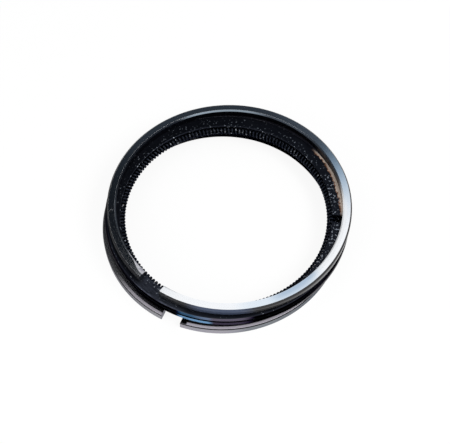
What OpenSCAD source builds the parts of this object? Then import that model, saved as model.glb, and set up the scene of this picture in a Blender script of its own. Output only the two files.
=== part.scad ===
// Piston ring set of one cylinder, stacked flat as it is supplied: three compression rings, and an oil
// ring with a coil expander in its inner groove. The rings are in their free state, so each is wider
// than the bore and its gap stands open. Millimetres, +Z up. The origin is under the middle of the
// set, on the surface that the lowest ring lies on.

/* [Cylinder] */
// Bore that the set runs in
bore_d = 86; // [75:1:98]
// What is left of a ring's gap when the ring is in the bore
closed_gap = 0.4; // [0.2:0.05:0.8]

/* [All rings] */
// Radial thickness of the compression rings
compression_t = 3.3; // [2.8:0.1:4.2]
// Break of the sharp edges
edge = 0.15; // [0.05:0.05:0.2]

/* [First compression ring] */
// Height
first_h = 3; // [2:0.1:4]
// Free gap
first_gap = 9; // [3:0.1:12]
// Direction of the gap, counterclockwise from +X
first_gap_at = 231; // [0:1:359]
// Bevel of the upper inside edge
first_inner_bevel = 0.5; // [0.3:0.1:1]
// Bevel of the upper outside edge
first_outer_bevel = 0.6; // [0.3:0.1:1]
// Radius of the barrel-shaped running face, seen in section
first_barrel_r = 12; // [8:1:30]
// Width of the round dimple that shows which side goes up
mark_d = 1.2; // [0.8:0.1:1.6]
// Depth of the dimple
mark_depth = 0.25; // [0.1:0.05:0.4]
// Direction of the dimple, counterclockwise from +X
mark_at = 186; // [0:1:359]

/* [Second compression ring] */
// Height
second_h = 2; // [1.8:0.1:4]
// Free gap
second_gap = 14; // [3:0.1:15]
// Direction of the gap, counterclockwise from +X
second_gap_at = 20; // [0:1:359]
// How far the running face leans in towards its top
second_taper = 0.08; // [0.02:0.02:0.2]
// Height of the hooked undercut at the lower edge
hook_h = 0.7; // [0.3:0.1:0.9]
// Depth of the hooked undercut
hook_d = 0.5; // [0.2:0.1:0.8]
// How much further up the undercut reaches at its root than at its lip
hook_rise = 0.2; // [0.1:0.05:0.4]

/* [Third compression ring] */
// Height
third_h = 3; // [2:0.1:4]
// Free gap
third_gap = 7.2; // [3:0.1:12]
// Direction of the gap, counterclockwise from +X
third_gap_at = 246; // [0:1:359]
// Bevel of the upper outside edge
third_bevel = 0.4; // [0.2:0.1:1]

/* [Oil ring] */
// Height
oil_h = 5; // [4.5:0.1:6]
// Radial thickness
oil_t = 5; // [4.4:0.1:5.6]
// Free gap
oil_gap = 3; // [2:0.1:10]
// Direction of the gap, counterclockwise from +X
oil_gap_at = 355; // [0:1:359]
// Height of the channel between the two lands
channel_h = 1.2; // [1:0.1:2]
// Depth of the channel
channel_d = 1.2; // [1:0.1:1.5]
// Bevel on the outer edges of the lands
land_bevel = 0.35; // [0.1:0.05:0.5]
// Drain slots between one end of the ring and the other
slots = 23; // [7:2:27]
// Length of a drain slot
slot_l = 6; // [3:0.5:7]
// Height of a drain slot
slot_h = 0.8; // [0.4:0.1:0.9]

/* [Coil expander] */
// Outside diameter of the coil
coil_d = 3.2; // [2.8:0.1:3.6]
// Diameter of the coil's wire
wire_d = 1; // [0.6:0.05:1.1]
// Pitch of the coil's turns
coil_pitch = 1.4; // [1.3:0.05:2.6]
// How far the coil's groove goes into the ring
groove_depth = 1.6; // [1:0.1:1.7]
// Room between the coil and its groove
coil_room = 0.1; // [0.05:0.05:0.2]
// Diameter of the wire that joins the coil's ends
joint_wire_d = 0.9; // [0.6:0.1:0.9]
// Length of the wire that joins the coil's ends
joint_wire_l = 24; // [12:1:40]

/* [Stack] */
// How far the oil ring lies out of line with the first ring, to the right and to the back
oil_shift = [-1.2, -2.4]; // [-3:0.05:3]
// The same for the second compression ring
second_shift = [-0.85, 0.3]; // [-3:0.05:3]
// The same for the third compression ring
third_shift = [-2.65, -2.6]; // [-3:0.05:3]

/* [Hidden] */
$fn = 96;

// Straight pieces in each turn of the coil, and sides of its wire
coil_steps = 6;
wire_sides = 5;
// How far a cutting solid reaches past what it cuts
past = 1;

// Outside radius of a ring at rest: closing its gap brings it down to the bore
function free_r(gap) = (bore_d + (gap - closed_gap) / PI) / 2;
first_r = free_r(first_gap);
second_r = free_r(second_gap);
third_r = free_r(third_gap);
oil_r = free_r(oil_gap);

// Each ring lies on the one below it
second_z = third_h;
oil_z = second_z + second_h;
first_z = oil_z + oil_h;

// The set is moved so that the middle of its outline is over the origin
first_shift = [0, 0];
radii = [first_r, second_r, third_r, oil_r];
shifts = [first_shift, second_shift, third_shift, oil_shift];
low = [for (axis = [0, 1]) min([for (i = [0 : len(radii) - 1]) shifts[i][axis] - radii[i]])];
high = [for (axis = [0, 1]) max([for (i = [0 : len(radii) - 1]) shifts[i][axis] + radii[i]])];
middle = (low + high) / 2;

// The coil stands out of its groove towards the piston
groove_r = coil_d / 2 + coil_room;
core_r = oil_r - oil_t + groove_depth - groove_r;
core_z = oil_z + oil_h / 2;
wind_r = (coil_d - wire_d) / 2;
// The coil's ends meet across from the ring's gap
joint_at = oil_gap_at + 180;
coil_turns = floor(2 * PI * core_r / coil_pitch);

// Puts a piece at its ring's place in the stack
module at(shift, z) {
    place = shift - middle;
    translate([place.x, place.y, z]) children();
}

// A ring turned from the section in its child, with a straight gap
module split_ring(outer_r, thickness, height, gap, gap_at) {
    difference() {
        rotate_extrude() children();
        rotate([0, 0, gap_at])
            translate([outer_r - thickness - past, -gap / 2, -past])
                cube([thickness + 2 * past, gap, height + 2 * past]);
    }
}

// Section of a ring, with the bevels of its lower outside, upper outside and upper inside edges
module ring_section(outer_r, thickness, height, lower_outer, upper_outer, upper_inner) {
    inner_r = outer_r - thickness;
    polygon([
        [inner_r, edge], [inner_r + edge, 0],
        [outer_r - lower_outer, 0], [outer_r, lower_outer],
        [outer_r, height - upper_outer], [outer_r - upper_outer, height],
        [inner_r + upper_inner, height], [inner_r, height - upper_inner]
    ]);
}

// A ball that leaves the dimple in the middle of the first ring's upper face
module mark_ball() {
    ball_r = (pow(mark_d / 2, 2) + pow(mark_depth, 2)) / (2 * mark_depth);
    rotate([0, 0, mark_at])
        translate([first_r - compression_t / 2, 0, first_h - mark_depth + ball_r])
            sphere(ball_r);
}

module first_compression_ring() {
    color([0.87, 0.89, 0.93]) at(first_shift, first_z)
        difference() {
            split_ring(first_r, compression_t, first_h, first_gap, first_gap_at)
                intersection() {
                    ring_section(first_r, compression_t, first_h, edge, first_outer_bevel, first_inner_bevel);
                    translate([first_r - first_barrel_r, first_h / 2]) circle(first_barrel_r);
                }
            mark_ball();
        }
}

module second_compression_ring() {
    inner_r = second_r - compression_t;
    top_r = second_r - second_taper;
    root_r = second_r - hook_d;
    color([0.2, 0.21, 0.24]) at(second_shift, second_z)
        split_ring(second_r, compression_t, second_h, second_gap, second_gap_at)
            polygon([
                [inner_r, edge], [inner_r + edge, 0],
                [root_r, 0], [root_r, hook_h + hook_rise], [second_r, hook_h],
                [top_r, second_h - edge], [top_r - edge, second_h],
                [inner_r + edge, second_h], [inner_r, second_h - edge]
            ]);
}

module third_compression_ring() {
    color([0.78, 0.79, 0.84]) at(third_shift, 0)
        split_ring(third_r, compression_t, third_h, third_gap, third_gap_at)
            ring_section(third_r, compression_t, third_h, edge, third_bevel, edge);
}

// Two lands with a round-bottomed channel between them, drain slots from the channel to the inside,
// and a round groove for the coil
module oil_ring() {
    slot_step = 360 / (slots + 1);
    color([0.16, 0.17, 0.2]) at(oil_shift, oil_z)
        difference() {
            split_ring(oil_r, oil_t, oil_h, oil_gap, oil_gap_at)
                difference() {
                    ring_section(oil_r, oil_t, oil_h, land_bevel, land_bevel, edge);
                    translate([core_r, oil_h / 2]) circle(groove_r);
                    translate([oil_r - channel_d + channel_h / 2, oil_h / 2]) {
                        circle(channel_h / 2);
                        translate([0, -channel_h / 2]) square([channel_d + past, channel_h]);
                    }
                }
            for (i = [1 : slots])
                rotate([0, 0, oil_gap_at + i * slot_step])
                    translate([oil_r - oil_t - past, -slot_l / 2, (oil_h - slot_h) / 2])
                        cube([oil_t + 2 * past, slot_l, slot_h]);
        }
}

// Corners of the coil's wire after a number of turns
function wire_corners(done) =
    let (
        round = 360 * done,
        along = 360 * done / coil_turns,
        ahead = [-sin(along), cos(along), 0],
        out = [cos(round) * cos(along), cos(round) * sin(along), sin(round)],
        over = [-sin(round) * cos(along), -sin(round) * sin(along), cos(round)],
        centre = core_r * [cos(along), sin(along), 0] + wind_r * out,
        run = coil_turns * wind_r * over + (core_r + wind_r * cos(round)) * ahead,
        across = cross(run, out) / norm(run)
    )
    [for (k = [0 : wire_sides - 1])
        centre + wire_d / 2 * (cos(360 * k / wire_sides) * out + sin(360 * k / wire_sides) * across)];

// A coil spring bent round into a ring. Its ends face each other, one step apart, at joint_at
module coil_expander() {
    steps = coil_turns * coil_steps - 1;
    corners = [for (i = [0 : steps]) each wire_corners(i / coil_steps)];
    walls = [for (i = [0 : steps - 1], k = [0 : wire_sides - 1])
        let (
            a = i * wire_sides + k,
            b = i * wire_sides + (k + 1) % wire_sides,
            c = a + wire_sides,
            d = b + wire_sides
        )
        each [[a, b, d], [a, d, c]]];
    ends = [
        [for (k = [wire_sides - 1 : -1 : 0]) k],
        [for (k = [0 : wire_sides - 1]) steps * wire_sides + k]
    ];
    color([0.33, 0.35, 0.4]) at(oil_shift, core_z)
        rotate([0, 0, joint_at]) polyhedron(corners, concat(walls, ends));
}

// A short bent wire inside the coil, half of it in each end
module expander_wire() {
    sweep = joint_wire_l / core_r * 180 / PI;
    color([0.55, 0.56, 0.58]) at(oil_shift, core_z)
        rotate([0, 0, joint_at - sweep / 2])
            rotate_extrude(angle = sweep)
                translate([core_r, 0]) circle(d = joint_wire_d);
}

first_compression_ring();
oil_ring();
coil_expander();
expander_wire();
second_compression_ring();
third_compression_ring();
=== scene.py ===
"""Looks of a stacked piston ring set: turned rings, a wound coil, their finishes, light and camera."""

import math

import bpy
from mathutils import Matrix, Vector


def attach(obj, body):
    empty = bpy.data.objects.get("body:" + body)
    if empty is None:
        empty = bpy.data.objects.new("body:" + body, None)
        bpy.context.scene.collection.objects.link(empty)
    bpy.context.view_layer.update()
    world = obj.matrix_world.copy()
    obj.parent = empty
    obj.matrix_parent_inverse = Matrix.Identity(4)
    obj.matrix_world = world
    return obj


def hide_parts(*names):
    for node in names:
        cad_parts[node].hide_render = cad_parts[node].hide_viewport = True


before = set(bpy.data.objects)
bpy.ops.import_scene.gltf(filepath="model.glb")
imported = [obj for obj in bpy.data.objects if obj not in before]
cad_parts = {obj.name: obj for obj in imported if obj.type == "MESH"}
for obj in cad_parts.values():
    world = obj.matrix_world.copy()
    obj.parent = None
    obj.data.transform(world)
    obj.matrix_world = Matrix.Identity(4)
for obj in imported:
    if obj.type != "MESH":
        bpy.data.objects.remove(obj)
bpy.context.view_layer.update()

# Sizes of the set are in millimetres, and those of the studio in metres
MM = 0.001

# Bore that the set runs in, and what is left of a ring's gap there
BORE_D = 86
CLOSED_GAP = 0.4


class Ring:
    """A split ring at rest in the stack. Closing its gap would bring it down to the bore."""

    def __init__(self, low, height, thickness, gap, gap_at, shift):
        self.low = low
        self.high = low + height
        self.outer = (BORE_D + (gap - CLOSED_GAP) / math.pi) / 2
        self.inner = self.outer - thickness
        self.gap = gap
        self.gap_at = gap_at
        self.shift = shift


# The stack from the floor up. Directions are in degrees from +X. A shift is how far a ring lies out of
# line with the first one, to the right and to the back
THIRD = Ring(low=0, height=3, thickness=3.3, gap=7.2, gap_at=246, shift=(-2.65, -2.6))
SECOND = Ring(low=THIRD.high, height=2, thickness=3.3, gap=14, gap_at=20, shift=(-0.85, 0.3))
OIL = Ring(low=SECOND.high, height=5, thickness=5, gap=3, gap_at=355, shift=(-1.2, -2.4))
FIRST = Ring(low=OIL.high, height=3, thickness=3.3, gap=9, gap_at=231, shift=(0, 0))
STACK = (THIRD, SECOND, OIL, FIRST)

# Break of the sharp edges, and the finer roundings that only the scene has
EDGE = 0.15
ROUNDING = 0.06
THIN_ROUNDING = 0.05

# First ring: its bevels, the radius of its barrel-shaped running face, and the dimple on its upper side
FIRST_INNER_BEVEL = 0.5
FIRST_OUTER_BEVEL = 0.6
BARREL_R = 12
MARK_D = 1.2
MARK_DEPTH = 0.25
MARK_AT = 186

# Second ring: how far its running face leans in, and the hooked undercut at its lower edge
TAPER = 0.08
HOOK_D = 0.5
HOOK_H = 0.7
HOOK_RISE = 0.2

# Third ring
THIRD_BEVEL = 0.4

# Oil ring: its lands, the channel between them and the drain slots
LAND_BEVEL = 0.35
CHANNEL_D = 1.2
CHANNEL_H = 1.2
CHANNEL_ROUNDING = 0.55
SLOTS = 23
SLOT_L = 6
SLOT_H = 0.8

# The coil, its groove in the oil ring, and the wire that joins its ends across from that ring's gap
COIL_D = 3.2
WIRE_D = 1
COIL_PITCH = 1.4
COIL_ROOM = 0.1
GROOVE_DEPTH = 1.6
GROOVE_R = COIL_D / 2 + COIL_ROOM
CORE_R = OIL.inner + GROOVE_DEPTH - GROOVE_R
CORE_Z = (OIL.low + OIL.high) / 2
COIL_TURNS = math.floor(2 * math.pi * CORE_R / COIL_PITCH)
# Part of the last turn that is left open between the coil's ends
COIL_OPENING = 1 / 6
JOINT_WIRE_D = 0.9
JOINT_WIRE_L = 24
JOINT_AT = OIL.gap_at + 180

# Fineness of the meshes
RING_STEPS = 360
BARREL_STEPS = 8
CHANNEL_STEPS = 6
ROUNDING_STEPS = 2
GROOVE_SIDES = 48
BALL_SIDES = 48
COIL_WIRE_SIDES = 10
COIL_TURN_STEPS = 24
JOINT_WIRE_SIDES = 16
JOINT_WIRE_STEPS = 24

# Edges that turn by more degrees than these are rounded, and those that turn by less are shaded smooth
ROUNDED_ABOVE = 35
SMOOTH_BELOW = 30
WIRE_SMOOTH_BELOW = 60

# How far a cutting tool reaches past what it cuts
PAST = 1
# A vertex within this distance of a place counts as lying there
NEAR = 0.02
# Vertices nearer to each other than this are merged
SAME_PLACE = 0.0001


# Places

def middle(axis):
    """Middle of the set's outline along X or Y, which are axes 0 and 1. It belongs over the origin."""
    low = min(ring.shift[axis] - ring.outer for ring in STACK)
    high = max(ring.shift[axis] + ring.outer for ring in STACK)
    return (low + high) / 2


def on_axis(ring, level=0):
    """The place of a level on a ring's axis, in metres."""
    return Vector((ring.shift[0] - middle(0), ring.shift[1] - middle(1), level)) * MM


def off_axis(angle, radius, level):
    """A place at an angle in degrees and a radius from the Z axis, in metres."""
    turn = math.radians(angle)
    return Vector((radius * math.cos(turn), radius * math.sin(turn), level)) * MM


# Modelling by hand

def begin():
    """Nothing is selected before a new piece is started."""
    if bpy.context.mode != "OBJECT":
        bpy.ops.object.mode_set(mode="OBJECT")
    bpy.ops.object.select_all(action="DESELECT")


def take(piece):
    """Selects one piece and makes it the active one."""
    begin()
    piece.select_set(True)
    bpy.context.view_layer.objects.active = piece


def lay(piece, ring, level=0, angle=0):
    """Turns a piece, made round the Z axis, by an angle in degrees, and lays it round its ring's axis."""
    take(piece)
    piece.rotation_euler = (0, 0, math.radians(angle))
    piece.location = on_axis(ring, level)
    bpy.ops.object.transform_apply(location=True, rotation=True, scale=True)


def pick(piece, where):
    """Selects, in edit mode, the vertices of a piece whose place in millimetres is the one asked for."""
    bpy.ops.mesh.select_mode(type="VERT")
    bpy.ops.mesh.select_all(action="DESELECT")
    bpy.ops.object.mode_set(mode="OBJECT")
    for vertex in piece.data.vertices:
        vertex.select = where(vertex.co / MM)
    bpy.ops.object.mode_set(mode="EDIT")


def pick_corner(piece, radius, level):
    """Selects the corner of an open section that lies at a radius and a level."""
    pick(piece, lambda place: math.hypot(place.x - radius, place.z - level) < NEAR)


def bevel_corner(piece, radius, level, width, segments=1):
    """Bevels the corner of an open section that lies at a radius and a level."""
    pick_corner(piece, radius, level)
    bpy.ops.mesh.bevel(offset=width * MM, affect="VERTICES", segments=segments)


def section(name, inner, outer, low, high):
    """A plain section, standing on its +X radius, open in edit mode."""
    begin()
    bpy.ops.mesh.primitive_plane_add(
        size=MM, location=off_axis(0, (inner + outer) / 2, (low + high) / 2), rotation=(math.pi / 2, 0, 0)
    )
    piece = bpy.context.object
    piece.name = name
    piece.scale = (outer - inner, high - low, 1)
    bpy.ops.object.transform_apply(location=True, rotation=True, scale=True)
    bpy.ops.object.mode_set(mode="EDIT")
    return piece


def bevelled_section(name, ring, upper_outer, upper_inner, lower_outer):
    """The section of a ring with the bevels of its edges. The lower inside edge is only broken."""
    piece = section(name, ring.inner, ring.outer, ring.low, ring.high)
    bevel_corner(piece, ring.outer, ring.high, upper_outer)
    bevel_corner(piece, ring.inner, ring.high, upper_inner)
    bevel_corner(piece, ring.outer, ring.low, lower_outer)
    bevel_corner(piece, ring.inner, ring.low, EDGE)
    return piece


def crown(piece):
    """Gives the running face of the first ring's open section its barrel shape."""
    face_low = FIRST.low + EDGE
    face_high = FIRST.high - FIRST_OUTER_BEVEL
    widest = (FIRST.low + FIRST.high) / 2
    pick(piece, lambda place: abs(place.x - FIRST.outer) < NEAR)
    bpy.ops.mesh.subdivide(number_cuts=BARREL_STEPS - 1)
    for i in range(BARREL_STEPS + 1):
        level = face_low + (face_high - face_low) * i / BARREL_STEPS
        drop = BARREL_R - math.sqrt(BARREL_R**2 - (level - widest) ** 2)
        pick_corner(piece, FIRST.outer, level)
        bpy.ops.transform.translate(value=(-drop * MM, 0, 0))


def merge():
    """Merges the vertices of the open mesh that lie at one place."""
    bpy.ops.mesh.select_all(action="SELECT")
    bpy.ops.mesh.remove_doubles(threshold=SAME_PLACE * MM)


def spin():
    """Spins the section that is open round the Z axis, and closes the seam."""
    bpy.ops.mesh.select_all(action="SELECT")
    bpy.ops.mesh.delete(type="ONLY_FACE")
    bpy.ops.mesh.select_all(action="SELECT")
    bpy.ops.mesh.spin(steps=RING_STEPS, angle=2 * math.pi, center=(0, 0, 0), axis=(0, 0, 1))
    merge()
    bpy.ops.mesh.normals_make_consistent(inside=False)
    bpy.ops.object.mode_set(mode="OBJECT")


def block(angle, inner, outer, width, low, high):
    """A block across a ring at an angle in degrees, to cut a gap or a slot with."""
    begin()
    bpy.ops.mesh.primitive_cube_add(
        size=MM,
        location=off_axis(angle, (inner + outer) / 2, (low + high) / 2),
        rotation=(0, 0, math.radians(angle)),
    )
    made = bpy.context.object
    made.scale = (outer - inner, width, high - low)
    bpy.ops.object.transform_apply(location=True, rotation=True, scale=True)
    return made


def dimple_ball():
    """A ball that leaves the dimple in the middle of the first ring's upper side."""
    begin()
    ball_r = ((MARK_D / 2) ** 2 + MARK_DEPTH**2) / (2 * MARK_DEPTH)
    bpy.ops.mesh.primitive_uv_sphere_add(
        segments=BALL_SIDES, ring_count=BALL_SIDES, radius=ball_r * MM,
        location=off_axis(MARK_AT, (FIRST.inner + FIRST.outer) / 2, FIRST.high - MARK_DEPTH + ball_r),
    )
    made = bpy.context.object
    bpy.ops.object.transform_apply(location=True)
    return made


def cut(piece, tool):
    """Takes a tool's shape out of a piece, and puts the tool away."""
    take(piece)
    difference = piece.modifiers.new("cut", "BOOLEAN")
    difference.operation = "DIFFERENCE"
    difference.solver = "MANIFOLD"
    difference.object = tool
    bpy.ops.object.modifier_apply(modifier=difference.name)
    bpy.data.objects.remove(tool, do_unlink=True)


def cut_gap(piece, ring):
    """Splits a ring at its gap."""
    inner = ring.inner - PAST
    outer = ring.outer + PAST
    cut(piece, block(ring.gap_at, inner, outer, ring.gap, ring.low - PAST, ring.high + PAST))


def soften(piece, width):
    """Merges what cutting has doubled, rounds the edges a little, and shades the flats between them flat."""
    take(piece)
    bpy.ops.object.mode_set(mode="EDIT")
    merge()
    bpy.ops.object.mode_set(mode="OBJECT")
    if width:
        rounding = piece.modifiers.new("rounded edges", "BEVEL")
        rounding.width = width * MM
        rounding.segments = ROUNDING_STEPS
        rounding.limit_method = "ANGLE"
        rounding.angle_limit = math.radians(ROUNDED_ABOVE)
        bpy.ops.object.modifier_apply(modifier=rounding.name)
    bpy.ops.object.shade_smooth_by_angle(angle=math.radians(SMOOTH_BELOW))
    flats = piece.modifiers.new("flat faces", "WEIGHTED_NORMAL")
    flats.keep_sharp = True
    bpy.ops.object.modifier_apply(modifier=flats.name)


# The rings

def make_first_ring():
    """A bevelled ring with a barrel-shaped running face, and a dimple that shows which side goes up."""
    piece = bevelled_section("first_ring", FIRST, FIRST_OUTER_BEVEL, FIRST_INNER_BEVEL, EDGE)
    crown(piece)
    spin()
    cut_gap(piece, FIRST)
    cut(piece, dimple_ball())
    soften(piece, ROUNDING)
    lay(piece, FIRST)
    return piece


def make_second_ring():
    """A ring with a tapered running face and a hooked undercut below it."""
    piece = section("second_ring", SECOND.inner, SECOND.outer, SECOND.low, SECOND.high)
    pick_corner(piece, SECOND.outer, SECOND.high)
    bpy.ops.transform.translate(value=(-TAPER * MM, 0, 0))
    bevel_corner(piece, SECOND.inner, SECOND.high, EDGE)
    bevel_corner(piece, SECOND.outer - TAPER, SECOND.high, EDGE)
    bevel_corner(piece, SECOND.inner, SECOND.low, EDGE)
    spin()

    root = SECOND.outer - HOOK_D
    lip = SECOND.low + HOOK_H
    hook = section("hook", root, SECOND.outer + PAST, SECOND.low - PAST, lip)
    pick_corner(hook, root, lip)
    bpy.ops.transform.translate(value=(0, 0, HOOK_RISE * MM))
    spin()
    cut(piece, hook)

    cut_gap(piece, SECOND)
    soften(piece, THIN_ROUNDING)
    lay(piece, SECOND)
    return piece


def make_third_ring():
    """A ring with a bevel at its upper outside edge."""
    piece = bevelled_section("third_ring", THIRD, THIRD_BEVEL, EDGE, EDGE)
    spin()
    cut_gap(piece, THIRD)
    soften(piece, ROUNDING)
    lay(piece, THIRD)
    return piece


def make_oil_ring():
    """A ring with a channel outside, a round groove inside and drain slots from one to the other."""
    piece = bevelled_section("oil_ring_body", OIL, LAND_BEVEL, EDGE, LAND_BEVEL)
    spin()

    bottom = OIL.outer - CHANNEL_D
    walls = (CORE_Z - CHANNEL_H / 2, CORE_Z + CHANNEL_H / 2)
    channel = section("channel", bottom, OIL.outer + PAST, *walls)
    for level in walls:
        bevel_corner(channel, bottom, level, CHANNEL_ROUNDING, segments=CHANNEL_STEPS)
    spin()
    cut(piece, channel)

    begin()
    bpy.ops.mesh.primitive_torus_add(
        location=(0, 0, CORE_Z * MM), major_radius=CORE_R * MM, minor_radius=GROOVE_R * MM,
        major_segments=RING_STEPS, minor_segments=GROOVE_SIDES,
    )
    groove = bpy.context.object
    bpy.ops.object.transform_apply(location=True)
    cut(piece, groove)

    step = 360 / (SLOTS + 1)
    low = CORE_Z - SLOT_H / 2
    high = CORE_Z + SLOT_H / 2
    for i in range(1, SLOTS + 1):
        cut(piece, block(OIL.gap_at + i * step, OIL.inner - PAST, OIL.outer + PAST, SLOT_L, low, high))
    cut_gap(piece, OIL)
    soften(piece, 0)
    lay(piece, OIL)
    return piece


# The coil and its joining wire

def cap_ends():
    """Closes the open ends of a wire in edit mode, turns its faces outwards and shades it smooth."""
    bpy.ops.mesh.select_all(action="DESELECT")
    bpy.ops.mesh.select_mode(type="EDGE")
    bpy.ops.mesh.select_non_manifold()
    bpy.ops.mesh.edge_face_add()
    bpy.ops.mesh.select_all(action="SELECT")
    bpy.ops.mesh.normals_make_consistent(inside=False)
    bpy.ops.object.mode_set(mode="OBJECT")
    bpy.ops.object.shade_smooth_by_angle(angle=math.radians(WIRE_SMOOTH_BELOW))


def wire_section(name, sides, diameter, place):
    """The round section of a wire that runs along Y, at a place in millimetres."""
    begin()
    bpy.ops.mesh.primitive_circle_add(
        vertices=sides, radius=diameter / 2 * MM, location=Vector(place) * MM, rotation=(math.pi / 2, 0, 0)
    )
    piece = bpy.context.object
    piece.name = name
    bpy.ops.object.transform_apply(location=True, rotation=True)
    return piece


def make_coil():
    """A straight coil, wound from the wire's round section, then bent round into a ring."""
    share = (COIL_TURNS - COIL_OPENING) / COIL_TURNS
    length = share * 2 * math.pi * CORE_R
    start = (-length / 2, 0, (COIL_D - WIRE_D) / 2)
    piece = wire_section("coil", COIL_WIRE_SIDES, WIRE_D, start)
    winding = piece.modifiers.new("winding", "SCREW")
    winding.axis = "X"
    winding.screw_offset = length / COIL_TURNS * MM
    winding.angle = share * 2 * math.pi
    winding.iterations = COIL_TURNS
    winding.steps = COIL_TURN_STEPS
    winding.render_steps = COIL_TURN_STEPS
    bpy.ops.object.modifier_apply(modifier=winding.name)
    # The bend is spread over the whole length, with half of the wire's thickness at each end
    bending = piece.modifiers.new("bending", "SIMPLE_DEFORM")
    bending.deform_method = "BEND"
    bending.deform_axis = "Z"
    bending.angle = (length + WIRE_D) / CORE_R
    bpy.ops.object.modifier_apply(modifier=bending.name)
    bpy.ops.object.mode_set(mode="EDIT")
    bpy.ops.mesh.select_all(action="SELECT")
    bpy.ops.transform.translate(value=(0, -CORE_R * MM, 0))
    cap_ends()
    # The bend leaves the middle of the coil towards -Y, and it belongs at the ring's gap
    lay(piece, OIL, CORE_Z, OIL.gap_at + 90)
    return piece


def make_joint_wire():
    """A short wire, bent along the middle of the coil, with half of it in each of the coil's ends."""
    sweep = JOINT_WIRE_L / CORE_R
    piece = wire_section("joint_wire", JOINT_WIRE_SIDES, JOINT_WIRE_D, (CORE_R, 0, 0))
    bpy.ops.object.mode_set(mode="EDIT")
    bpy.ops.mesh.select_all(action="SELECT")
    bpy.ops.mesh.spin(steps=JOINT_WIRE_STEPS, angle=sweep, center=(0, 0, 0), axis=(0, 0, 1))
    cap_ends()
    # The spin runs clockwise from +X, so the middle of the wire is turned back by half of its sweep
    lay(piece, OIL, CORE_Z, JOINT_AT + math.degrees(sweep) / 2)
    return piece


# Finishes

class Value:
    """A number that a finish works out at each point. Plain arithmetic on it adds Math nodes."""

    def __init__(self, nodes, socket):
        self.nodes = nodes
        self.socket = socket

    def maths(self, operation, *values):
        return self.nodes.node("ShaderNodeMath", {"operation": operation}, dict(enumerate(values)))

    def __add__(self, other):
        return self.maths("ADD", self, other)

    def __radd__(self, other):
        return self.maths("ADD", other, self)

    def __sub__(self, other):
        return self.maths("SUBTRACT", self, other)

    def __rsub__(self, other):
        return self.maths("SUBTRACT", other, self)

    def __mul__(self, other):
        return self.maths("MULTIPLY", self, other)

    def __rmul__(self, other):
        return self.maths("MULTIPLY", other, self)

    def __truediv__(self, other):
        return self.maths("DIVIDE", self, other)

    def __rtruediv__(self, other):
        return self.maths("DIVIDE", other, self)

    def root(self):
        return self.maths("SQRT", self)

    def or_more(self, other):
        return self.maths("MAXIMUM", self, other)

    def step(self, low, high):
        """0 below low and 1 above high, or the other way round, and smooth between them."""
        return self.nodes.node(
            "ShaderNodeMapRange", {"interpolation_type": "SMOOTHSTEP"},
            {"Value": self, "From Min": low, "From Max": high},
        )


class Nodes:
    """A tree of shader nodes, grown by expressions."""

    # Where a Mix node that is set to colours has its two colours and its result
    FIRST_COLOUR = 6
    SECOND_COLOUR = 7
    MIXED_COLOUR = 2

    def __init__(self, tree):
        self.tree = tree

    def feed(self, socket, value):
        if isinstance(value, Value):
            self.tree.links.new(value.socket, socket)
        else:
            socket.default_value = value

    def node(self, kind, settings, inputs, output=0):
        made = self.tree.nodes.new(kind)
        for name, value in settings.items():
            setattr(made, name, value)
        for name, value in inputs.items():
            self.feed(made.inputs[name], value)
        return Value(self, made.outputs[output])

    def split(self, place, letters):
        """The numbers of a place along the axes that are named."""
        return [
            self.node("ShaderNodeSeparateXYZ", {}, {"Vector": place}, output=letter) for letter in letters
        ]

    def mix(self, share, first, second):
        """A colour that goes from first to second as share goes from 0 to 1."""
        inputs = {"Factor": share, self.FIRST_COLOUR: first, self.SECOND_COLOUR: second}
        return self.node("ShaderNodeMix", {"data_type": "RGBA"}, inputs, output=self.MIXED_COLOUR)

    def noise(self, place, scale, detail, rough):
        inputs = {"Vector": place, "Scale": scale, "Detail": detail, "Roughness": rough}
        return self.node("ShaderNodeTexNoise", {}, inputs)


class Finish(Nodes):
    """A material of a ring. It knows each point's place from the ring's axis, in millimetres."""

    def __init__(self, name, ring):
        self.material = bpy.data.materials.new(name)
        self.material.use_nodes = True
        super().__init__(self.material.node_tree)
        self.shader = self.tree.nodes["Principled BSDF"]
        place = self.node("ShaderNodeTexCoord", {}, {}, output="Object")
        moved = self.node("ShaderNodeVectorMath", {"operation": "SUBTRACT"}, {0: place, 1: on_axis(ring)})
        self.place = self.node("ShaderNodeVectorMath", {"operation": "SCALE"}, {0: moved, "Scale": 1 / MM})
        self.x, self.y, self.z = self.split(self.place, "XYZ")
        self.radius = (self.x * self.x + self.y * self.y).root()

    def around(self, angle, full, none):
        """1 up to full degrees away from a direction, seen from the axis, and 0 from none degrees on."""
        turn = math.radians(angle)
        towards = (self.x * math.cos(turn) + self.y * math.sin(turn)) / self.radius
        return towards.step(math.cos(math.radians(none)), math.cos(math.radians(full)))

    def cloud(self, scale, detail, rough=0.5):
        """Noise that lies in the material, with a scale per millimetre."""
        return self.noise(self.place, scale, detail, rough)

    def round_marks(self, breaks, fineness):
        """Marks that run round the ring: breaks make them shorter, and fineness packs them closer."""
        inputs = {
            "X": self.x / self.radius * breaks,
            "Y": self.y / self.radius * breaks,
            "Z": (self.radius + self.z) * fineness,
        }
        return self.noise(self.node("ShaderNodeCombineXYZ", {}, inputs), 1, detail=3, rough=0.6)

    def surface(self, colour, metallic, roughness, bump, strength, depth=0.01):
        """The finished material. The bump's depth is in millimetres."""
        inputs = {"Height": bump, "Strength": strength, "Distance": depth * MM}
        self.feed(self.shader.inputs["Base Color"], colour)
        self.feed(self.shader.inputs["Metallic"], metallic)
        self.feed(self.shader.inputs["Roughness"], roughness)
        self.feed(self.shader.inputs["Normal"], self.node("ShaderNodeBump", {}, inputs))
        return self.material


def rgb(red, green, blue):
    """A colour in linear light."""
    return (red, green, blue, 1)


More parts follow.
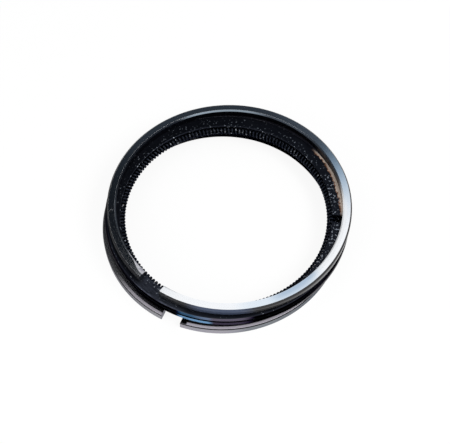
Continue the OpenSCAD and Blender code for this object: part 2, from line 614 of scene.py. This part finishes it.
# Colours of the finishes. A pair is what a stain, a grain or a mask varies between
LAPPED_WHITE = (rgb(0.88, 0.91, 0.95), rgb(0.95, 0.96, 0.98))
# Blue of a painted sky reflection on the first ring's top
LAPPED_SKY_REFLECTION = (rgb(0.74, 0.82, 0.91), rgb(0.42, 0.53, 0.67))
# The first ring's lip and inner wall: painted shade, a dim painted highlight at the back, and a bright
# painted highlight
LAPPED_LIP_SHADE = (rgb(0.045, 0.055, 0.070), rgb(0.008, 0.010, 0.014))
LAPPED_GREY = rgb(0.23, 0.28, 0.33)
INNER_WALL = (rgb(0.016, 0.018, 0.026), rgb(0.70, 0.72, 0.76))
# The first ring's running face: a painted blue sheen at the front, and painted shade that darkens it towards
# the left
RUNNING_BLUE_SHEEN = (rgb(0.062, 0.082, 0.138), rgb(0.082, 0.105, 0.170))
RUNNING_GREY = (rgb(0.044, 0.043, 0.045), rgb(0.010, 0.011, 0.014))
SCUFF = (rgb(0.38, 0.38, 0.44), rgb(0.62, 0.62, 0.66))
# The oil ring's crescent: a painted warm reflection, rusty brown at its edge
WARM_REFLECTION = (rgb(0.60, 0.45, 0.36), rgb(0.86, 0.76, 0.66))
RUST = rgb(0.22, 0.09, 0.04)
# Painted sheen on the oil ring's lands, near black away from it
LAND_MAUVE_SHEEN = (rgb(0.008, 0.006, 0.010), rgb(0.165, 0.150, 0.190))
LAND_SKY_SHEEN = rgb(0.25, 0.46, 0.72)
PHOSPHATE = (rgb(0.008, 0.009, 0.014), rgb(0.022, 0.025, 0.034))
THIN_PHOSPHATE = rgb(0.050, 0.056, 0.076)
# Painted glints on crystal grains of the oil ring's coat
CRYSTAL_GLINT = rgb(0.32, 0.35, 0.40)
BLUED = (rgb(0.014, 0.014, 0.019), rgb(0.045, 0.040, 0.052))
# The third ring's silver in painted light and shade: brightest at the front, paler to the left, dimmer
# elsewhere
CHROME_DIM = (rgb(0.25, 0.27, 0.29), rgb(0.36, 0.38, 0.40))
CHROME_PALE = (rgb(0.42, 0.42, 0.44), rgb(0.52, 0.52, 0.54))
CHROME_FRONT = (rgb(0.37, 0.39, 0.44), rgb(0.54, 0.50, 0.54))
# Pale painted highlight along the front of the third ring's top, which is also matt there
CHROME_RIM_LIGHT = rgb(0.60, 0.57, 0.64)
# Near black: painted shade on the third ring's inside and bevel, and the colour of its dark end
CHROME_DARK = rgb(0.004, 0.004, 0.005)
SPRING = (rgb(0.007, 0.008, 0.013), rgb(0.024, 0.029, 0.040))
# Painted glints on the coil
SPRING_GLINT = rgb(0.30, 0.32, 0.35)
DRAWN = (rgb(0.16, 0.16, 0.18), rgb(0.26, 0.26, 0.28))

# What dark metals and the chrome throw back at a glancing angle
DARK_GLANCE = rgb(0.25, 0.25, 0.30)
CHROME_GLANCE = rgb(0.30, 0.30, 0.33)
# Gloss of the first ring's coated running face
COAT_GLOSS = 0.15


def lapped_steel():
    """First ring: bright on top, coated outside, painted shade to a painted highlight inside, scuffed at one
    end of its gap.
    """
    finish = Finish("lapped_steel", FIRST)
    inner = FIRST.inner
    marks = finish.round_marks(14, 5)
    stain = finish.cloud(0.12, detail=4)
    patches = finish.cloud(0.9, detail=3)

    # Which side of the ring a point is on
    face = finish.z.step(FIRST.high - 0.020, FIRST.high - 0.005)
    outside = finish.radius.step(inner + 1.4, inner + 1.6)
    bevel_foot = FIRST.high - FIRST_INNER_BEVEL
    bevelled = finish.z.step(bevel_foot - 0.04, bevel_foot + 0.04)

    # Which way it lies from the axis
    # The inner lip and wall are smoother towards the front right, painted bright there as if lit, and dark
    # in painted shade towards the back left
    polished_and_lit = finish.around(302, 51.7, 73.7)
    at_front = finish.around(266, 5.7, 17.3)
    to_sky = finish.around(295, 9.9, 25.8)
    bluest = finish.around(304, 5.7, 17.3) * finish.radius.step(inner + 4.2, inner + 0.6)
    at_left = finish.around(203, 23.1, 60)
    at_back = finish.around(93, 8.1, 25.8)
    in_shade = finish.around(142, 25.8, 45.6)
    worn = finish.around(336, 14.1, 28.4)
    # The scuff reaches furthest out at the gap, and has a ragged edge
    scuff_limit = inner + finish.around(229, 3.6, 13.6) * 1.4 + stain * 0.4
    rubbed = finish.around(222, 8.9, 12.8) * (scuff_limit - finish.radius).step(-0.1, 0.15)
    scuffed = rubbed * face.or_more(bevelled)

    # Painted sky reflection: the top turns blue towards the front right, bluest near the inner edge
    sky = finish.mix(bluest, *LAPPED_SKY_REFLECTION)
    bright = finish.mix(to_sky.or_more(bluest), finish.mix(stain, *LAPPED_WHITE), sky)
    # Painted light and shade on the lip and the inner wall
    lip_shade = finish.mix(at_back, finish.mix(in_shade, *LAPPED_LIP_SHADE), LAPPED_GREY)
    lip = finish.mix(polished_and_lit, lip_shade, bright)
    inside = finish.mix(bevelled, finish.mix(polished_and_lit, *INNER_WALL), lip)
    # Painted shade darkens the running face towards the left, and a painted blue sheen lies at the front
    grey = finish.mix(at_left, *RUNNING_GREY)
    running = finish.mix(at_front, grey, finish.mix(stain, *RUNNING_BLUE_SHEEN))
    walls = finish.mix(outside, inside, running)
    scuff = finish.mix(patches.step(0.35, 0.65), *SCUFF)
    colour = finish.mix(scuffed, finish.mix(face, walls, bright), scuff)

    rough = 0.28 - face.or_more(polished_and_lit) * 0.20 + marks * (0.10 - face * 0.06) + scuffed * 0.3
    matt = (outside * (1 - face)).or_more(scuffed).or_more(worn * bevelled * (1 - outside))
    finish.shader.inputs["Specular IOR Level"].default_value = COAT_GLOSS
    return finish.surface(colour, 1 - matt * 0.85, rough, bump=marks, strength=0.10)


def phosphated_iron():
    """Oil ring: dark, grained iron with a painted blue to mauve sheen on its lands, and a painted warm
    reflection, rusty at its edge, on top at the right.
    """
    finish = Finish("phosphated_iron", OIL)
    outer = OIL.outer
    grain = finish.cloud(3.5, detail=5, rough=0.65)
    stain = finish.cloud(0.25, detail=3)
    patches = finish.cloud(0.7, detail=3)
    marks = finish.round_marks(12, 4)

    # The crescent on top at the right: a painted warm reflection, rusty brown at its ragged inner edge and
    # narrower towards the back
    on_top = finish.z.step(OIL.high - 0.12, OIL.high - 0.04)
    to_right = finish.around(18, 16.3, 23.1) * finish.y.step(-3.2, -2.4)
    reach = finish.radius + patches * 2.4 - finish.y.step(8, 22) * 0.8
    warm_reflection = on_top * to_right * reach.step(outer - 1.0, outer - 0.7)
    pale = finish.mix(grain.step(0.40, 0.62), *WARM_REFLECTION)
    warm = finish.mix(reach.step(outer - 0.8, outer - 0.3), RUST, pale)

    # The lands: a painted sheen, blue at the front left, most of all on the lower one, and mauve beside that
    land = finish.radius.step(outer - 0.10, outer - 0.04)
    upper = finish.z.step(CORE_Z, CORE_Z + 0.5)
    blue = finish.around(255.5, 5.1, 9.2) * (1 - upper * 0.7)
    mauve = finish.around(269, 5.7, 15.2) * (upper * 0.5 + 0.5)
    land_sheen = finish.mix(blue, finish.mix(mauve, *LAND_MAUVE_SHEEN), LAND_SKY_SHEEN)

    # The coat, thin under the first ring's gap, with painted glints on its crystal grains that crowd
    # together at the right
    crowded = finish.around(352, 14.1, 36.9) * 0.05 - finish.radius.step(outer - 3.4, outer - 0.9) * 0.05
    crystal_glints = (finish.cloud(1.2, detail=1) + crowded).step(0.63, 0.71) * (1 - land)
    under_gap = finish.around(236, 8.1, 17.3) * marks.step(0.30, 0.65)
    coat = finish.mix(under_gap, finish.mix(stain, *PHOSPHATE), THIN_PHOSPHATE)
    dark = finish.mix(crystal_glints, coat, CRYSTAL_GLINT)

    colour = finish.mix(warm_reflection, finish.mix(land, dark, land_sheen), warm)
    rough = 0.30 + grain * 0.20 - land * 0.14
    finish.shader.inputs["Specular Tint"].default_value = DARK_GLANCE
    bump = grain + marks * land
    return finish.surface(colour, 1 - warm_reflection * 0.9, rough, bump, strength=0.22, depth=0.02)


def blued_iron():
    """Second ring: near-black iron with a faint heat tint."""
    finish = Finish("blued_iron", SECOND)
    marks = finish.round_marks(10, 4)
    colour = finish.mix(finish.cloud(0.10, detail=3), *BLUED)
    return finish.surface(colour, 1, 0.22 + marks * 0.16, bump=marks, strength=0.12)


def bright_chrome():
    """Third ring: silver in painted light, with a pale painted highlight along the front of its top, painted
    shade on its bevel and inside, and a dark end.
    """
    finish = Finish("bright_chrome", THIRD)
    marks = finish.round_marks(12, 5)
    stain = finish.cloud(0.15, detail=4)

    top = finish.z.step(THIRD.high - 0.06, THIRD.high - 0.02)
    bevelled = finish.z.step(THIRD.high - THIRD_BEVEL, THIRD.high - THIRD_BEVEL + 0.06) * (1 - top)
    dark_end = top * finish.around(250.4, 2.8, 3.8)
    # A painted highlight: a pale band along the front of the top, also rougher and less metallic
    along_front = finish.around(268, 42.3, 58.7)
    lit_rim = top * along_front * finish.radius.step(THIRD.outer - 1.5, THIRD.outer - 1.1) * (1 - dark_end)
    # Painted light and shade on the silver: brightest at the front, paler towards the left, dimmer elsewhere
    lit = finish.around(262, 9.9, 21.6)
    to_left = finish.around(212, 25.8, 41.4)

    unlit = finish.mix(to_left, finish.mix(stain, *CHROME_DIM), finish.mix(stain, *CHROME_PALE))
    silver = finish.mix(lit, unlit, finish.mix(stain, *CHROME_FRONT))
    # Painted shade: the inside and the bevel are near black, and so is the end at the gap
    outside = finish.radius.step(THIRD.inner + 0.1, THIRD.inner + 0.25)
    plain = finish.mix(outside * (1 - bevelled.or_more(dark_end) * 0.93), CHROME_DARK, silver)
    colour = finish.mix(lit_rim, plain, CHROME_RIM_LIGHT)
    rough = 0.14 + marks * 0.12 + lit_rim * 0.25
    finish.shader.inputs["Specular Tint"].default_value = CHROME_GLANCE
    return finish.surface(colour, 1 - lit_rim * 0.75, rough, bump=marks, strength=0.10)


def spring_wire():
    """Coil: dark blued spring wire, with painted glints in places."""
    finish = Finish("spring_wire", OIL)
    drawn = finish.cloud(2.5, detail=3)
    # Painted glints: bright patches of the wire here and there
    rubbed = finish.cloud(0.9, detail=4, rough=0.7).step(0.58, 0.70)
    colour = finish.mix(rubbed, finish.mix(drawn.step(0.35, 0.75), *SPRING), SPRING_GLINT)
    finish.shader.inputs["Specular Tint"].default_value = DARK_GLANCE
    return finish.surface(colour, 1, 0.16 + drawn * 0.15, bump=drawn, strength=0.08)


def drawn_wire():
    """Wire inside the coil's joint."""
    finish = Finish("drawn_wire", OIL)
    marks = finish.round_marks(4, 6)
    return finish.surface(finish.mix(marks, *DRAWN), 1, 0.25 + marks * 0.15, bump=marks, strength=0.1)


PIECES = (
    (make_first_ring, lapped_steel, "first_compression_ring", "first_ring_steel"),
    (make_oil_ring, phosphated_iron, "oil_ring", "oil_ring_iron"),
    (make_coil, spring_wire, "coil_expander", "expander_wire"),
    (make_joint_wire, drawn_wire, "expander_wire", "joint_wire"),
    (make_second_ring, blued_iron, "second_compression_ring", "second_ring_iron"),
    (make_third_ring, bright_chrome, "third_compression_ring", "third_ring_chrome"),
)
for make, finish, node, slot in PIECES:
    piece = make()
    piece.data.materials.clear()
    piece.data.materials.append(finish())
    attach(piece, "root")
    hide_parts(node)


# Studio

# Share of the white room's light that falls on the set
ROOM_LIGHT = 0.5

# The floor, which glows where it is seen so that it is as white as the room
FLOOR_SIZE = 6
FLOOR_GREY = rgb(0.9, 0.9, 0.9)
FLOOR_GLOW = 1.05
FLOOR_GLOW_SHARE = 0.85

# The ceiling. Its dark part begins at a corner and opens to the right, at a turn in degrees from +X. The
# slopes against that direction are where the white ends and where the full dark begins
CARD_SIZE = 1.4
CARD_PLACE = (0, 0.163, 0.298)
DARK_CORNER = (-0.0537, 0.117)
DARK_TURN = 34.1
DARK_SLOPES = (-0.30, 0.19)
# Least distance from the corner that the slopes are taken at
CORNER_REACH = 0.005
# Distances from the corner over which the dark part gets lighter, first a little and then to grey
LESS_DARK_OVER = (0.005, 0.07)
GREY_OVER = (0.152, 0.166)
CARD_LIGHT = (rgb(1, 1, 1), rgb(0.6, 1.0, 1.4))
CARD_DARK = (rgb(0.006, 0.008, 0.011), rgb(0.024, 0.031, 0.040))
CARD_GREY = rgb(0.048, 0.061, 0.079)

# The dark strip along the stack's foot, in millimetres, and how much it still glows
FOOT_SHADE_W = 10
FOOT_SHADE_FADE = 4
FOOT_SHADE_LEVEL = 0.05
FOOT_SHADE_SIDES = 96
FOOT_SHADE_GLOW = 0.01

# Where the lamps aim, and how little of them shows as gloss
LAMP_AIM = Vector((0, 0, 0.01))
LAMP_GLOSS = 0.25

# The photograph's frame, its focal length and where it has the foot of the first ring's axis, in pixels
PHOTO_W = 450
PHOTO_H = 444
PHOTO_FOCUS = 937.436
AIM_X = 229.4
AIM_Y = 219.3
# How steeply the camera looks down, in degrees, and its distance from that foot
VIEW_RISE = 58.417
VIEW_DISTANCE = 0.3502
SENSOR_WIDTH = 36
CLIP_START = 0.01


def seen(nodes):
    """1 for what the camera sees, straight or in gloss or through glass, and 0 for light on the object."""
    straight, gloss, glass = [
        nodes.node("ShaderNodeLightPath", {}, {}, output=ray)
        for ray in ("Is Camera Ray", "Is Glossy Ray", "Is Transmission Ray")
    ]
    return straight.or_more(gloss).or_more(glass)


def white_world():
    """A white room that is brighter where it is seen than where it lights the set."""
    world = bpy.data.worlds.new("white_room")
    bpy.context.scene.world = world
    world.use_nodes = True
    nodes = Nodes(world.node_tree)
    ground = world.node_tree.nodes["Background"]
    ground.inputs["Color"].default_value = rgb(1, 1, 1)
    nodes.feed(ground.inputs["Strength"], seen(nodes) * (1 - ROOM_LIGHT) + ROOM_LIGHT)


def pale_floor():
    """A floor that is nearly lost in the white room, with a faint shadow on it."""
    begin()
    bpy.ops.mesh.primitive_plane_add(size=FLOOR_SIZE, location=(0, 0, 0))
    floor = bpy.context.object
    floor.name = "floor"
    material = bpy.data.materials.new("pale_floor")
    material.use_nodes = True
    nodes = Nodes(material.node_tree)
    matte = nodes.tree.nodes["Principled BSDF"]
    matte.inputs["Base Color"].default_value = FLOOR_GREY
    matte.inputs["Roughness"].default_value = 1
    glow = nodes.node("ShaderNodeEmission", {}, {"Strength": FLOOR_GLOW})
    blend = nodes.node(
        "ShaderNodeMixShader", {},
        {0: seen(nodes) * FLOOR_GLOW_SHARE, 1: Value(nodes, matte.outputs[0]), 2: glow},
    )
    nodes.feed(nodes.tree.nodes["Material Output"].inputs["Surface"], blend)
    floor.data.materials.append(material)


def reflected_only(card):
    """Hides a piece of the studio from everything but reflections."""
    card.visible_camera = False
    card.visible_diffuse = False
    card.visible_shadow = False
    card.visible_transmission = False


def dark_card():
    """A ceiling that is only seen in the rings: dark over the back left and white over the front.

    The line between the two is sharp where the first ring's gap mirrors it, and softer to the right.
    """
    begin()
    bpy.ops.mesh.primitive_plane_add(size=CARD_SIZE, location=CARD_PLACE)
    card = bpy.context.object
    card.name = "dark_card"
    bpy.ops.object.transform_apply(location=True)
    material = bpy.data.materials.new("dark_card")
    material.use_nodes = True
    nodes = Nodes(material.node_tree)
    x, y = nodes.split(nodes.node("ShaderNodeTexCoord", {}, {}, output="Object"), "XY")
    turn = math.radians(DARK_TURN)
    right = x - DARK_CORNER[0]
    back = y - DARK_CORNER[1]
    along = right * math.cos(turn) + back * math.sin(turn)
    beyond = back * math.cos(turn) - right * math.sin(turn)
    dark = (beyond / along.or_more(CORNER_REACH)).step(*DARK_SLOPES)
    left = nodes.mix(along.step(*LESS_DARK_OVER), *CARD_DARK)
    deep = nodes.mix(along.step(*GREY_OVER), left, CARD_GREY)
    colour = nodes.mix(dark, nodes.mix(dark, *CARD_LIGHT), deep)
    glow = nodes.node("ShaderNodeEmission", {}, {"Color": colour})
    nodes.feed(nodes.tree.nodes["Material Output"].inputs["Surface"], glow)
    card.data.materials.append(material)
    reflected_only(card)


def foot_shade():
    """The dark strip on the floor along the left foot of the stack, which is only seen in the rings."""
    begin()
    edge = THIRD.outer + FOOT_SHADE_W
    bpy.ops.mesh.primitive_circle_add(
        vertices=FOOT_SHADE_SIDES, radius=edge * MM, fill_type="NGON",
        location=on_axis(THIRD, FOOT_SHADE_LEVEL),
    )
    shade = bpy.context.object
    shade.name = "foot_shade"
    bpy.ops.object.transform_apply(location=True)
    finish = Finish("foot_shade", THIRD)
    begins = finish.radius.step(THIRD.outer - 1.1, THIRD.outer - 0.1)
    strip = begins * finish.radius.step(edge, edge - FOOT_SHADE_FADE)
    share = finish.around(143, 36.9, 53.1) * strip
    clear = finish.node("ShaderNodeBsdfTransparent", {}, {})
    dark = finish.node("ShaderNodeEmission", {}, {"Strength": FOOT_SHADE_GLOW})
    blend = finish.node("ShaderNodeMixShader", {}, {0: share, 1: clear, 2: dark})
    finish.feed(finish.tree.nodes["Material Output"].inputs["Surface"], blend)
    shade.data.materials.append(finish.material)
    reflected_only(shade)


def soft_lamp(name, place, size, power):
    """A square lamp that is aimed at the stack."""
    begin()
    bpy.ops.object.light_add(type="AREA", location=place)
    lamp = bpy.context.object
    lamp.name = name
    lamp.data.size = size
    lamp.data.energy = power
    lamp.data.specular_factor = LAMP_GLOSS
    lamp.rotation_euler = (LAMP_AIM - Vector(place)).to_track_quat("-Z", "Y").to_euler()


def camera():
    """The photograph's viewing angle."""
    rise = math.radians(VIEW_RISE)
    back = Vector((0, -math.cos(rise), math.sin(rise)))
    begin()
    bpy.ops.object.camera_add(location=on_axis(FIRST) + back * VIEW_DISTANCE)
    eye = bpy.context.object
    eye.rotation_euler = (-back).to_track_quat("-Z", "Y").to_euler()
    eye.data.sensor_width = SENSOR_WIDTH
    eye.data.lens = PHOTO_FOCUS / PHOTO_W * SENSOR_WIDTH
    eye.data.shift_x = (PHOTO_W / 2 - AIM_X) / PHOTO_W
    eye.data.shift_y = (AIM_Y - PHOTO_H / 2) / PHOTO_W
    eye.data.clip_start = CLIP_START
    bpy.context.scene.camera = eye


white_world()
pale_floor()
dark_card()
foot_shade()
soft_lamp("key", place=(0.35, -0.20, 0.50), size=0.25, power=1.6)
soft_lamp("fill", place=(-0.45, -0.35, 0.35), size=0.35, power=0.7)
camera()
bpy.context.scene.view_settings.view_transform = "Standard"
